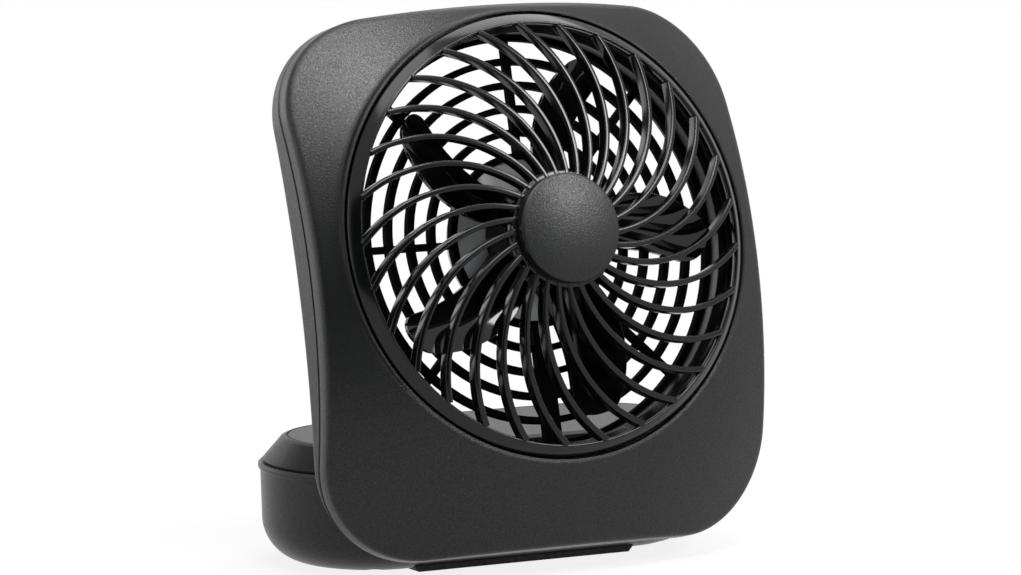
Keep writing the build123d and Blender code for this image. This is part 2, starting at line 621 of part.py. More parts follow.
def stadium(profile):
    """Sweep half a cross-section round the base: two turned ends joined by a straight middle."""
    turned = revolve(profile, Axis.Z)
    ends = [Pos(side * BASE_HALF_STRAIGHT, 0, 0) * turned for side in (-1, 1)]
    section = Rot(0, 0, 90) * (profile + mirror(profile, Plane.YZ))
    middle = Pos(-BASE_HALF_STRAIGHT, 0, 0) * extrude(section, 2 * BASE_HALF_STRAIGHT, dir=(1, 0, 0))
    return ends[0] + middle + ends[1]


def upright(edges):
    """A face in the XZ plane from a closed run of lines and arcs drawn as (x, z) points."""
    return make_face([Plane.XZ * edge for edge in edges])


def outline_of(points):
    """The closed run of straight lines through a list of points."""
    return [Line(a, b) for a, b in zip(points, points[1:] + points[:1])]


def tub_profile(inset=0.0):
    """Half-section of the tub: flat bottom, large rounding and a slightly drafted wall."""
    low = BASE_FLOOR + inset
    bend = BASE_BOTTOM_ROUND - inset
    foot = BASE_RADIUS - BASE_DRAFT - BASE_BOTTOM_ROUND
    knee = (foot + bend, BASE_FLOOR + BASE_BOTTOM_ROUND)
    mid = (foot + bend * sin(radians(45)), knee[1] - bend * cos(radians(45)))
    wall_top = (BASE_RADIUS - inset, TUB_TOP)
    return upright([
        Line((0, low), (foot, low)),
        ThreePointArc((foot, low), mid, knee),
        Line(knee, wall_top),
        Line(wall_top, (0, TUB_TOP)),
        Line((0, TUB_TOP), (0, low)),
    ])


def rim_profile():
    """The small proud band round the top of the tub."""
    inner = BASE_RADIUS
    outer = BASE_RADIUS + RIM_PROUD
    low = TUB_TOP - RIM_HEIGHT
    band = [(inner, low), (outer, low + RIM_PROUD), (outer, TUB_TOP - RIM_PROUD), (inner, TUB_TOP)]
    return upright(outline_of([(0, low)] + band + [(0, TUB_TOP)]))


def lid_profile(inset=0.0):
    """Half-section of the lid: a fine groove over the tub, a broad chamfer and a flat plateau."""
    step = TUB_TOP + LID_GROOVE
    slope = atan2(BASE_TOP - step, LID_CHAMFER)
    foot = LID_FOOT - inset / sin(slope)
    edge = LID_FOOT - LID_CHAMFER - inset * tan(slope / 2)
    neck = foot - LID_GROOVE
    top = BASE_TOP - inset
    points = [(0, TUB_TOP), (neck, TUB_TOP), (neck, step), (foot, step), (edge, top), (0, top)]
    return upright(outline_of(points))


def cover_screw_spots():
    x, y = COVER_SCREW_PLACE
    return [(side * x, end * y) for side in (-1, 1) for end in (-1, 1)]


def across(radius, low, high, y, z):
    """A round bar along X between two places."""
    return Pos(low, y, z) * Rot(0, 90, 0) * disc(radius, 0, high - low)


def wall_at(height):
    """Half-depth of the drafted tub wall at a height."""
    knee = BASE_FLOOR + BASE_BOTTOM_ROUND
    return BASE_RADIUS - BASE_DRAFT * (TUB_TOP - height) / (TUB_TOP - knee)


def board_post_spots():
    return about(BOARD_CENTRE, 2 * BOARD_LENGTH / 3)


def stem_slot(y_range):
    """The slot that the switch's stem slides in."""
    length = STEM_LENGTH + 2 * SWITCH_TRAVEL + 2 * GAP
    return block(about(SWITCH_PLACE, length), y_range, about(SWITCH_HEIGHT, STEM_HEIGHT + 2 * GAP))


def cell_cradles():
    """Four upright ribs on the tub floor, hollowed to the round of the cells."""
    floor = BASE_FLOOR + BASE_WALL / 2
    reach = 2 * BASE_HALF_STRAIGHT
    room = across(CELL_RADIUS + GAP, -reach, reach, 0, CELL_HEIGHT)
    places = [side * place for side in (-1, 1) for place in CRADLE_PLACES]
    return [block(about(place, CRADLE_THICK), about(0, 2 * CELL_RADIUS), (floor, CRADLE_HEIGHT)) - room
            for place in places]


def base_tub():
    """Round-ended tray with cell cradles, screw bosses and rear openings for the jack and the switch."""
    floor = BASE_FLOOR + BASE_WALL / 2
    tub = stadium(tub_profile()) + stadium(rim_profile()) - stadium(tub_profile(BASE_WALL))
    skin = stadium(tub_profile(BASE_WALL / 2))
    boss = disc(COVER_BOSS, floor, COVER_BOSS_TOP)
    board_post = disc(BOARD_POST_RADIUS, floor, BOARD_LOW)
    tub += cell_cradles()
    tub += [Pos(x, y, 0) * boss & skin for x, y in cover_screw_spots()]
    tub += [Pos(x, BOARD_LINE, 0) * board_post for x in board_post_spots()]
    recess = disc(SCREW_HEAD_RADIUS + GAP, -PAST, COVER_SCREW_SEAT)
    hole = disc(SCREW_RADIUS + FIT_CLEAR, 0, COVER_BOSS_TOP + PAST)
    tub -= [Pos(x, y, 0) * (recess + hole) for x, y in cover_screw_spots()]
    rear = (BASE_RADIUS - 2 * BASE_WALL, 2 * BASE_RADIUS)
    tub -= Pos(JACK_PLACE, 0, JACK_HEIGHT) * Rot(-90, 0, 0) * disc(JACK_RADIUS + FIT_CLEAR, *rear)
    return tub - stem_slot(rear)


def ear_outline():
    """Side view of a hinge ear: an eye on a web that runs back into the lid."""
    side = Plane(origin=(0, 0, 0), x_dir=(0, 1, 0), z_dir=(1, 0, 0))
    eye = Pos(HINGE_Y, HINGE_HEIGHT) * Circle(LUG_RADIUS)
    root = Pos(HINGE_Y + LUG_RADIUS, TUB_TOP + LUG_RADIUS) * Rectangle(2 * LUG_RADIUS, LUG_RADIUS)
    return side * make_hull(eye.edges() + root.edges())


def ear_places():
    """Low X limits of the four ears, one each side of each lug."""
    near = HINGE_SPREAD - LUG_WIDTH / 2 - SIDE_PLAY - EAR_WIDTH
    far = HINGE_SPREAD + LUG_WIDTH / 2 + SIDE_PLAY
    return (near, far, -near - EAR_WIDTH, -far - EAR_WIDTH)


def plateau_line():
    """The fine groove that runs round the plateau just inside its edge."""
    outer = LID_FOOT - LID_CHAMFER - PLATEAU_LINE_INSET
    length = 2 * BASE_HALF_STRAIGHT
    line = SlotCenterToCenter(length, 2 * outer) - SlotCenterToCenter(length, 2 * (outer - PLATEAU_LINE))
    return Pos(0, 0, BASE_TOP - PLATEAU_LINE) * extrude(line, 2 * PLATEAU_LINE)


def base_top_cover():
    """Chamfered lid with a fine line round its plateau, hinge ears, lug slots and screw posts."""
    lid = stadium(lid_profile())
    lid = chamfer(lid.faces().sort_by(Axis.Z)[-1].edges(), LID_EDGE)
    hollow = stadium(lid_profile(BASE_WALL))
    lid -= hollow + Pos(0, 0, -PAST) * hollow
    lid -= plateau_line()
    swing = sqrt(HINGE_BACK**2 + (LUG_FOOT / 2)**2) + 2 * SIDE_PLAY
    slot_half = LUG_WIDTH / 2 + SIDE_PLAY
    slot = across(swing, -slot_half, slot_half, HINGE_Y, HINGE_HEIGHT)
    lid -= [Pos(side * HINGE_SPREAD, 0, 0) * slot for side in (-1, 1)]
    lid += [Pos(low, 0, 0) * extrude(ear_outline(), EAR_WIDTH) for low in ear_places()]
    pin_hole = across(PIN_RADIUS, -PAST, EAR_WIDTH + PAST, HINGE_Y, HINGE_HEIGHT)
    lid -= [Pos(low, 0, 0) * pin_hole for low in ear_places()]
    post = disc(COVER_BOSS, COVER_BOSS_TOP, BASE_TOP - BASE_WALL / 2)
    room = stadium(lid_profile(BASE_WALL / 2)) + stadium(tub_profile(BASE_WALL + GAP))
    lid += [Pos(x, y, 0) * post & room for x, y in cover_screw_spots()]
    hole = disc(SCREW_RADIUS, COVER_BOSS_TOP - PAST, COVER_BOSS_TOP + COVER_SCREW_BITE + GAP)
    return lid - [Pos(x, y, 0) * hole for x, y in cover_screw_spots()]


def cover_screws():
    """Four screws from under the tub that hold the lid down."""
    fastener = screw(SCREW_LENGTH)
    return Compound([Pos(x, y, COVER_SCREW_SEAT - SCREW_HEAD) * fastener for x, y in cover_screw_spots()])


def foot_strip(side):
    """Rubber strip under the base with chamfered ends, shaped to the tub above it."""
    half = FOOT_LENGTH / 2
    toe = half - FOOT_CHAMFER
    outline = upright(outline_of([(-half, FOOT_HEIGHT), (-toe, 0), (toe, 0), (half, FOOT_HEIGHT)]))
    strip = Pos(0, side * FOOT_OUT - FOOT_WIDTH / 2, 0) * extrude(outline, FOOT_WIDTH, dir=(0, 1, 0))
    return strip - stadium(tub_profile())


def hinge_pins():
    """Two steel pins, each through a lug and the pair of ears beside it."""
    reach = LUG_WIDTH / 2 + SIDE_PLAY + EAR_WIDTH
    pin = across(PIN_RADIUS, -reach, reach, HINGE_Y, HINGE_HEIGHT)
    return Compound([Pos(side * HINGE_SPREAD, 0, 0) * pin for side in (-1, 1)])


def battery_cell(side):
    """D-size rechargeable cell lying along X, its nipple towards +X."""
    low = TAB_THICK / 2 if side > 0 else -TAB_THICK / 2 - CELL_LENGTH - CELL_NIPPLE
    high = low + CELL_LENGTH
    can = fillet(across(CELL_RADIUS, low, high, 0, CELL_HEIGHT).edges(), CELL_SHOULDER)
    return can + across(CELL_NIPPLE_RADIUS, high - CELL_NIPPLE, high + CELL_NIPPLE, 0, CELL_HEIGHT)


def battery_tabs():
    """Nickel strips: one link between the cells and one at each end."""
    reach = CELL_LENGTH + CELL_NIPPLE + TAB_THICK
    tab = block(about(0, TAB_THICK), about(0, TAB_SIZE), about(CELL_HEIGHT, TAB_SIZE))
    return Compound([Pos(x, 0, 0) * tab for x in (-reach, 0, reach)])


def charger_board():
    """Small circuit board on two posts behind the cells."""
    top = BOARD_LOW + BOARD_THICK
    board = block(about(BOARD_CENTRE, BOARD_LENGTH), about(BOARD_LINE, BOARD_WIDTH), (BOARD_LOW, top))
    coil = Pos(BOARD_CENTRE - BOARD_LENGTH / 4, BOARD_LINE, 0) * disc(COIL_RADIUS, top, top + COIL_HEIGHT)
    chip_place = BOARD_CENTRE + BOARD_LENGTH / 4
    chip = block(about(chip_place, CHIP_LENGTH), about(BOARD_LINE, CHIP_WIDTH), (top, top + CHIP_HEIGHT))
    return board + coil + chip


def charging_jack():
    """Round charging socket in the rear wall with its centre pin."""
    face = wall_at(JACK_HEIGHT)
    body_front = face - JACK_SLEEVE
    back = face - JACK_BORE_DEPTH - JACK_BACK
    sleeve = disc(JACK_RADIUS, body_front, face)
    body = block(about(0, JACK_BODY), about(0, JACK_BODY), (back, body_front))
    bore = disc(JACK_BORE, face - JACK_BORE_DEPTH, face + PAST)
    pin = disc(JACK_PIN, face - JACK_BORE_DEPTH - JACK_BACK / 2, face - JACK_PIN_SUNK)
    return Pos(JACK_PLACE, 0, JACK_HEIGHT) * Rot(-90, 0, 0) * (sleeve + body - bore + pin)


def switch_inner():
    """Inner face of the tub's rear wall where the switch sits."""
    return wall_at(SWITCH_HEIGHT - SWITCH_BODY_HEIGHT / 2) - BASE_WALL - FIT_CLEAR


def switch_body():
    """Slide-switch frame inside the rear wall, slotted for the knob's stem."""
    face = switch_inner()
    depth = (face - SWITCH_BODY_DEPTH, face)
    body = block(about(SWITCH_PLACE, SWITCH_BODY_LENGTH), depth, about(SWITCH_HEIGHT, SWITCH_BODY_HEIGHT))
    return body - stem_slot((face - STEM_DEPTH - GAP, face + PAST))


def switch_knob():
    """Grooved slide knob on a stem that reaches into the switch."""
    low = wall_at(TUB_TOP) + GAP
    high = low + KNOB_PROUD
    cap = block(about(SWITCH_PLACE, KNOB_LENGTH), (low, high), about(SWITCH_HEIGHT, KNOB_HEIGHT))
    cap = fillet(cap.faces().sort_by(Axis.Y)[-1].edges(), KNOB_EDGE)
    stem_depth = (switch_inner() - STEM_DEPTH, low + KNOB_PROUD / 2)
    stem = block(about(SWITCH_PLACE, STEM_LENGTH), stem_depth, about(SWITCH_HEIGHT, STEM_HEIGHT))
    pitch = KNOB_LENGTH / (KNOB_GROOVES + 1)
    first = SWITCH_PLACE - KNOB_LENGTH / 2 + pitch
    groove_depth = (high - KNOB_GROOVE_DEPTH, high + PAST)
    groove = block(about(first, KNOB_GROOVE_WIDTH), groove_depth, about(SWITCH_HEIGHT, 2 * KNOB_HEIGHT))
    grooves = [Pos(pitch * turn, 0, 0) * groove for turn in range(KNOB_GROOVES)]
    return cap + stem - grooves


pieces = {
    "front_bezel": in_head(front_bezel()),
    "front_grille": in_head(front_grille()),
    "hub_cap": in_head(hub_cap()),
    "rear_housing": in_head(rear_housing()),
    "rear_grille": in_head(rear_grille()),
    "motor_mount": in_head(motor_mount()),
    "motor_cover": in_head(motor_cover()),
    "motor_screws": in_head(motor_screws()),
    "motor_end_cap": in_head(motor_end_cap()),
    "motor_can": in_head(motor_can()),
    "motor_bush": in_head(motor_bush()),
    "motor_lead": in_head(motor_lead()),
    "shell_screws": in_head(shell_screws()),
    "impeller": in_head(impeller()),
    "motor_shaft": in_head(motor_shaft()),
    "base_tub": base_tub(),
    "base_top_cover": base_top_cover(),
    "cover_screws": cover_screws(),
    "front_foot_strip": foot_strip(-1),
    "rear_foot_strip": foot_strip(1),
    "hinge_pins": hinge_pins(),
    "battery_cell_left": battery_cell(-1),
    "battery_cell_right": battery_cell(1),
    "battery_tabs": battery_tabs(),
    "charger_board": charger_board(),
    "charging_jack": charging_jack(),
    "switch_body": switch_body(),
    "switch_knob": switch_knob(),
}

# The origin lies on the floor under the middle of the whole fan
limits = Compound(list(pieces.values())).bounding_box()
middle = (limits.min.Y + limits.max.Y) / 2
os.makedirs("parts", exist_ok=True)
for name, piece in pieces.items():
    piece = Pos(0, -middle, 0) * piece
    export_step(piece, f"parts/{name}.step")
    print(name, len(piece.solids()), round(piece.volume, 1))
print("size", [round(length, 2) for length in limits.size])
print("hinge axis y z", round(HINGE_Y - middle, 4), HINGE_HEIGHT)
print("fan axis y z", round(-AXIS_FORWARD - middle, 4), AXIS_HEIGHT)
print("base middle y", round(-middle, 4))
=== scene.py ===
# %% [markdown]
# # A rechargeable tabletop fan in moulded black plastic
# The solid model arrives as a fixed frame: every piece already sits where it belongs, in metres.
# This lesson gives each piece the finish of the real one, draws again the few pieces whose small
# roundings decide how they catch the light, and sets up the camera and the studio.

# %% Load the frame
import json
from math import asin, atan2, cos, pi, radians, sin, sqrt, tau

import bmesh
import bpy
from mathutils import Matrix, Vector


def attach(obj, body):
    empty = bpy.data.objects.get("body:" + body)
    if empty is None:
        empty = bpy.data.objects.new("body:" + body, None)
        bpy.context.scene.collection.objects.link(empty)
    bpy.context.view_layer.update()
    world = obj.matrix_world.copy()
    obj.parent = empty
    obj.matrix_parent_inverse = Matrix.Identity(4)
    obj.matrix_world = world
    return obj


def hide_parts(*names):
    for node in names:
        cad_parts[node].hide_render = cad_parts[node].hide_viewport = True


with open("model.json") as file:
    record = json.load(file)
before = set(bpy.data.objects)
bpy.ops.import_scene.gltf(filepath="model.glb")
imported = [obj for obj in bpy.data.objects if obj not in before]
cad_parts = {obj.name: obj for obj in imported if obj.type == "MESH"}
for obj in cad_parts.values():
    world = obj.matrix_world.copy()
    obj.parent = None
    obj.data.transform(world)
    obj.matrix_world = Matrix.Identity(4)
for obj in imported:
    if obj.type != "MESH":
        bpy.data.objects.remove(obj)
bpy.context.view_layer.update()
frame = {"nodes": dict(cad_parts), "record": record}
MM = 0.001

# %% [markdown]
# ## Where the fan axis runs
# The head leans back, so the round pieces are easiest to draw in the head's own axes: x to the
# right, y up along the face and z forward along the fan axis. The axis could be measured on a round
# solid, but the spin joint of the impeller already gives its direction and the point where it
# crosses the plane of the ring.

# %% Axes of the head


def named(rows, name):
    """The row of a list that has this name."""
    return next(row for row in rows if row["name"] == name)


spin = named(frame["record"]["behaviour"]["joints"], "impeller_spin")
axis_point = Vector(spin["pos_m"])
forward = Vector(spin["axis"]).normalized()
side = Vector((1, 0, 0))
upward = forward.cross(side)
head_axes = Matrix.Translation(axis_point) @ Matrix((side, upward, forward)).transposed().to_4x4()
print("fan axis through", [round(v, 4) for v in axis_point], "towards", [round(v, 4) for v in forward])

# %% [markdown]
# ## The camera
# The photograph is almost free of perspective, so it was taken from far away with a long lens. The
# camera stands to the left of the fan and a little above it, and aims to the left of the fan axis
# and below it, as the photograph is framed. The focal length was fitted in pixels, so it is kept in
# pixels and turned into the millimetres that Blender asks for.

# %% Camera
IMAGE_WIDTH = 1021
FOCAL_PIXELS = 6000.0
SENSOR = 36.0
CAMERA_AZIMUTH = radians(-29.6)
CAMERA_ELEVATION = radians(7.0)
CAMERA_DISTANCE = 1945.5 * MM
AIM_LEFT = 12.06 * MM
AIM_DOWN = 17.25 * MM


def towards(azimuth, elevation):
    """Direction from the fan to something at an azimuth from the front and an elevation."""
    level = cos(elevation)
    return Vector((sin(azimuth) * level, -cos(azimuth) * level, sin(elevation)))


to_camera = towards(CAMERA_AZIMUTH, CAMERA_ELEVATION)
camera_right = Vector((cos(CAMERA_AZIMUTH), sin(CAMERA_AZIMUTH), 0))
camera_up = to_camera.cross(camera_right)
camera_data = bpy.data.cameras.new("camera")
camera_data.sensor_width = SENSOR
camera_data.sensor_fit = "HORIZONTAL"
camera_data.lens = FOCAL_PIXELS / IMAGE_WIDTH * SENSOR
camera = bpy.data.objects.new("camera", camera_data)
bpy.context.scene.collection.objects.link(camera)
camera.location = axis_point + to_camera * CAMERA_DISTANCE
aim = axis_point - camera_right * AIM_LEFT - camera_up * AIM_DOWN
camera.rotation_euler = (aim - camera.location).to_track_quat("-Z", "Y").to_euler()
bpy.context.scene.camera = camera
print("lens", round(camera_data.lens, 1), "mm at", [round(v, 3) for v in camera.location])

# %% [markdown]
# ## Helpers for materials
# Colours are written as the hex values that a screen shows, while shaders work in linear light, so
# one function turns the first into the second. One small function adds any node with its settings
# and its links, which keeps each material down to a few lines.

# %% Colour and node helpers


def linear(hex_colour):
    """A screen colour such as #1b1c1e as linear red, green, blue and alpha."""
    parts = [int(hex_colour[i:i + 2], 16) / 255 for i in (1, 3, 5)]
    return tuple(c / 12.92 if c <= 0.04045 else ((c + 0.055) / 1.055) ** 2.4 for c in parts) + (1.0,)


def add_node(tree, kind, settings=None, **inputs):
    """Add a node; an input is named, or numbered as i0, and is linked if a socket is given for it."""
    node = tree.nodes.new(kind)
    for name, value in (settings or {}).items():
        setattr(node, name, value)
    for name, value in inputs.items():
        numbered = name[0] == "i" and name[1:].isdigit()
        socket = node.inputs[int(name[1:]) if numbered else name]
        if isinstance(value, bpy.types.NodeSocket):
            tree.links.new(value, socket)
        else:
            socket.default_value = value
    return node


def new_material(name):
    """An empty material with its node tree and output."""
    material = bpy.data.materials.new(name)
    material.use_nodes = True
    tree = material.node_tree
    tree.nodes.clear()
    output = tree.nodes.new("ShaderNodeOutputMaterial")
    return material, tree, output


def finish_material(tree, output, **inputs):
    """Close a material with one Principled shader."""
    names = {key.replace("_", " "): value for key, value in inputs.items()}
    shader = add_node(tree, "ShaderNodeBsdfPrincipled", None, **names)
    tree.links.new(shader.outputs["BSDF"], output.inputs["Surface"])


print("screen grey #808080 is", round(linear("#808080")[0], 3), "in linear light")

# %% [markdown]
# ## Helpers for patterns
# A moulded or plated surface is never quite even. An image could show that, but it needs unwrapped
# pieces and has seams, so a noise in object coordinates is used. These coordinates are metres in
# this frame, so a pattern's scale is one over a real size. The Bevel node turns the light at sharp
# edges as a small rounding would, and leaves the mesh as it is.

# %% Pattern helpers
NOISE_ROUGHNESS = 0.55
NOISE_LOW = 0.3
NOISE_HIGH = 0.7
BEVEL_SAMPLES = 6


def grain(tree, size_mm, detail):
    """A noise pattern whose lumps are about size_mm across."""
    place = add_node(tree, "ShaderNodeTexCoord")
    noise = add_node(tree, "ShaderNodeTexNoise", {"noise_dimensions": "3D"}, Vector=place.outputs["Object"],
                     Scale=1 / (size_mm * MM), Detail=detail, Roughness=NOISE_ROUGHNESS)
    return noise.outputs["Fac"]


def spread(tree, pattern, low, high):
    """A pattern mapped to a range; a noise keeps mostly between its own low and high."""
    ends = {"From Min": NOISE_LOW, "From Max": NOISE_HIGH, "To Min": low, "To Max": high}
    return add_node(tree, "ShaderNodeMapRange", None, Value=pattern, **ends).outputs["Result"]


def shades(tree, pattern, dark, light):
    """A pattern turned into a colour between two screen colours."""
    ramp = add_node(tree, "ShaderNodeValToRGB", None, Fac=pattern)
    ramp.color_ramp.elements[0].position = NOISE_LOW
    ramp.color_ramp.elements[0].color = linear(dark)
    ramp.color_ramp.elements[1].position = NOISE_HIGH
    ramp.color_ramp.elements[1].color = linear(light)
    return ramp.outputs["Color"]


def bumps(tree, pattern, depth_mm, strength=1.0, edge_mm=0.3):
    """Fine relief on a surface whose sharp edges are rounded off by edge_mm."""
    edge = add_node(tree, "ShaderNodeBevel", {"samples": BEVEL_SAMPLES}, Radius=edge_mm * MM)
    return add_node(tree, "ShaderNodeBump", None, Height=pattern, Strength=strength, Distance=depth_mm * MM,
                    Normal=edge.outputs["Normal"]).outputs["Normal"]


print("patterns use the noise between", NOISE_LOW, "and", NOISE_HIGH)

# %% [markdown]
# ## Textured ABS
# The shell, the base and the hub cap are ABS moulded in a tool that was spark-eroded, which leaves
# a fine even grain. It scatters reflections, so the plastic looks soft black and turns a speckled
# grey where it faces the light. The lumps of a real grain are a tenth or two of a millimetre across.
# They are drawn at half a millimetre, because finer ones would not show in a picture of this size.
# One noise drives the colour, the gloss and the relief, so each pit is darker and duller than the
# lump beside it.

# %% Textured ABS
ABS_IOR = 1.5
GRAIN_MM = 0.5
GRAIN_DEPTH_MM = 0.08
PIT_ROUGHNESS = 0.39
LUMP_ROUGHNESS = 0.27
PIT_GLOSS = 0.75
LUMP_GLOSS = 1.25


def textured_abs(name, gloss, edge_mm):
    """Black ABS with a spark-eroded grain; its pits shine less than its lumps."""
    material, tree, output = new_material(name)
    fine = grain(tree, GRAIN_MM, detail=2.0)
    finish_material(
        tree, output,
        Base_Color=shades(tree, fine, "#0b0c0d", "#121314"),
        Roughness=spread(tree, fine, PIT_ROUGHNESS, LUMP_ROUGHNESS),
        Normal=bumps(tree, fine, GRAIN_DEPTH_MM, edge_mm=edge_mm),
        IOR=ABS_IOR,
        Specular_IOR_Level=spread(tree, fine, gloss * PIT_GLOSS, gloss * LUMP_GLOSS),
    )
    return material


# Spark-eroded ABS: a soft black whose grain breaks each reflection into speckle.
shell_abs = textured_abs("textured_abs", gloss=0.32, edge_mm=0.4)
# The same ABS on the bezel: its wide soft edges spread their highlight.
bezel_abs = textured_abs("textured_abs_soft_edge", gloss=0.32, edge_mm=2.5)
# The same ABS on the lid with about half the gloss: painted shade, so the lid shows as dark as the shade
# and the dark reflection of the head leave it.
lid_abs_painted_shade = textured_abs("textured_abs_painted_shade", gloss=0.16, edge_mm=0.5)
print("made", [m.name for m in (shell_abs, bezel_abs, lid_abs_painted_shade)])

# %% [markdown]
# ## Smooth plastics
# The grille and the impeller are ABS from polished tools. A thin moulding cools unevenly and keeps
# slow waves that bend its reflections. They could be modelled, but they are only hundredths of a
# millimetre deep, so a coarse noise gives them as relief, and a finer noise varies the gloss.

# %% Smooth plastics
WAVE_MM = 9.0
WAVE_STRENGTH = 0.4
SMEAR_MM = 0.6
SMEAR_LOW = 0.85
SMEAR_HIGH = 1.15


def smooth_plastic(name, dark, light, roughness, depth_mm, gloss):
    """Plastic from a smooth tool, with slow waves of a small depth in its surface."""
    material, tree, output = new_material(name)
    waves = grain(tree, WAVE_MM, detail=1.0)
    smears = grain(tree, SMEAR_MM, detail=2.0)
    finish_material(
        tree, output,
        Base_Color=shades(tree, waves, dark, light),
        Roughness=spread(tree, smears, roughness * SMEAR_LOW, roughness * SMEAR_HIGH),
        Normal=bumps(tree, waves, depth_mm, WAVE_STRENGTH),
        IOR=ABS_IOR,
        Specular_IOR_Level=gloss,
    )
    return material


# ABS from a lightly polished tool: satin black, with narrow highlights along the ribs.
satin_abs = smooth_plastic("satin_abs", "#060708", "#0a0b0c", roughness=0.14, depth_mm=0.02, gloss=0.3)
# ABS from a mirror-polished tool: the blades mirror the studio in clear wavy patches.
gloss_abs = smooth_plastic("gloss_abs", "#050506", "#09090a", roughness=0.06, depth_mm=0.08, gloss=0.4)
# ABS from a plain tool: an even dull sheen on the small fittings.
plain_abs = smooth_plastic("plain_abs", "#08090a", "#0c0d0e", roughness=0.35, depth_mm=0.02, gloss=0.2)
# ABS with a dead matt etch: the rear grille stays black against the light behind it.
matt_abs = smooth_plastic("dead_matt_abs", "#040405", "#070708", roughness=0.8, depth_mm=0.02, gloss=0.02)
# Light grey ABS: a pale, slightly dull plate behind the blades.
grey_abs = smooth_plastic("grey_abs", "#b0b2b4", "#b9bbbd", roughness=0.35, depth_mm=0.03, gloss=0.4)
# Unfilled nylon: a waxy off-white with a blurred shine.
nylon = smooth_plastic("natural_nylon", "#cfc9b8", "#d8d3c4", roughness=0.45, depth_mm=0.03, gloss=0.4)
print("made", [m.name for m in (satin_abs, gloss_abs, plain_abs, matt_abs, grey_abs, nylon)])

# %% [markdown]
# ## Rubber, metals and the parts inside
# The feet are soft black rubber with a dusty bloom. Screws, hinge pins, the motor can and its shaft
# are zinc-plated steel, the bush is sintered bronze and the cell tabs are nickel strip. A metal has
# no colour under its shine, so its base colour is the colour of its reflections, and fine scuffs
# vary its roughness. The cells wear a green shrink sleeve, and the board is green too.

# %% Rubber and metals
RUBBER_IOR = 1.52
BLOOM_MM = 1.5
BLOOM_DEPTH_MM = 0.05
SCUFF_MM = 0.8
SCUFF_DEPTH_MM = 0.01
SCUFF_LOW = 0.7
SCUFF_HIGH = 1.3

# Moulded rubber: a flat near-black that the bloom greys in cloudy patches.
foot_rubber, tree, output = new_material("foot_rubber")
bloom = grain(tree, BLOOM_MM, detail=4.0)
finish_material(
    tree, output,
    Base_Color=shades(tree, bloom, "#0e0e0e", "#191919"),
    Roughness=spread(tree, bloom, 0.7, 0.9),
    Normal=bumps(tree, bloom, BLOOM_DEPTH_MM, strength=0.4),
    IOR=RUBBER_IOR,
)


def plated_metal(name, dark, light, roughness):
    """Bright metal with fine random scuffs."""
    material, tree, output = new_material(name)
    scuffs = grain(tree, SCUFF_MM, detail=4.0)
    finish_material(
        tree, output,
        Base_Color=shades(tree, scuffs, dark, light),
        Metallic=1.0,
        Roughness=spread(tree, scuffs, roughness * SCUFF_LOW, roughness * SCUFF_HIGH),
        Normal=bumps(tree, scuffs, SCUFF_DEPTH_MM, strength=0.3),
    )
    return material


# Zinc-plated steel: a cool bright grey with slightly blurred reflections.
zinc_steel = plated_metal("zinc_plated_steel", "#a9adb1", "#c3c6c9", roughness=0.3)
# Sintered bronze: a dull brown gold, since its surface is full of pores.
bronze = plated_metal("sintered_bronze", "#8f6d3f", "#a5824e", roughness=0.45)
# Rolled nickel: a warmer and brighter grey than the zinc.
nickel = plated_metal("nickel_strip", "#b3b0a8", "#cbc8c0", roughness=0.25)
# Shrunk plastic film: an even green with a soft shine.
sleeve = smooth_plastic("cell_shrink_sleeve", "#1f5a38", "#246441", roughness=0.3, depth_mm=0.05, gloss=0.4)
# Laminate under solder mask: a deeper green with much the same shine.
board = smooth_plastic("circuit_board", "#12502a", "#175c31", roughness=0.35, depth_mm=0.02, gloss=0.4)
print("made", [m.name for m in (foot_rubber, zinc_steel, bronze, nickel, sleeve, board)])

# %% [markdown]
# ## Give every solid its finish
# Each solid keeps its shape and only takes a material. The materials round off sharp edges as they
# are lit, because a moulded edge is never sharp and its thin highlight is what draws it.

# %% Finishes of the solids
FINISHES = {
    "front_bezel": bezel_abs, "rear_housing": shell_abs, "hub_cap": shell_abs,
    # The lid takes the copy of the ABS whose halved gloss is painted shade.
    "base_tub": shell_abs, "base_top_cover": lid_abs_painted_shade,
    "front_grille": satin_abs, "impeller": gloss_abs,
    "rear_grille": matt_abs, "switch_knob": plain_abs, "switch_body": plain_abs,
    "charging_jack": plain_abs, "motor_lead": plain_abs,
    "motor_mount": grey_abs, "motor_cover": grey_abs, "motor_end_cap": nylon,
    "front_foot_strip": foot_rubber, "rear_foot_strip": foot_rubber,
    "motor_can": zinc_steel, "motor_shaft": zinc_steel, "hinge_pins": zinc_steel,
    "motor_screws": zinc_steel, "shell_screws": zinc_steel, "cover_screws": zinc_steel,
    "motor_bush": bronze, "battery_tabs": nickel,
    "battery_cell_left": sleeve, "battery_cell_right": sleeve, "charger_board": board,
}
for name, node in frame["nodes"].items():
    node.data.materials.clear()
    node.data.materials.append(FINISHES[name])
print("dressed", len(frame["nodes"]), "solids")

# %% [markdown]
# ## The front grille
# The real grille is one moulding: a ring with a sloping face, curved ribs on a shallow dome and a
# disc at the hub, all with softened edges. Its solid has sharp edges. A Bevel modifier is one way to
# soften them, but an even edge is hard to keep where so many ribs run into a ring. So the grille is
# drawn again from the same sizes, in millimetres and in the head's axes, with its roundings built in.

# %% Ring and dome
RING_RADIUS = 72.8
RING_WIDTH = 3.95
RING_RISE = 4.0
RING_INNER = RING_RADIUS - RING_WIDTH
DOME_RISE = 13.0
DOME_RADIUS = (RING_INNER**2 + (DOME_RISE - RING_RISE)**2) / (2 * (DOME_RISE - RING_RISE))
DOME_CENTRE = DOME_RISE - DOME_RADIUS


def dome(radius):
    """Height of the dome over the plane of the ring at a distance from the fan axis."""
    return DOME_CENTRE + sqrt(DOME_RADIUS**2 - radius**2)


print("the dome rises from", round(dome(RING_INNER), 2), "to", round(dome(0), 2), "mm")

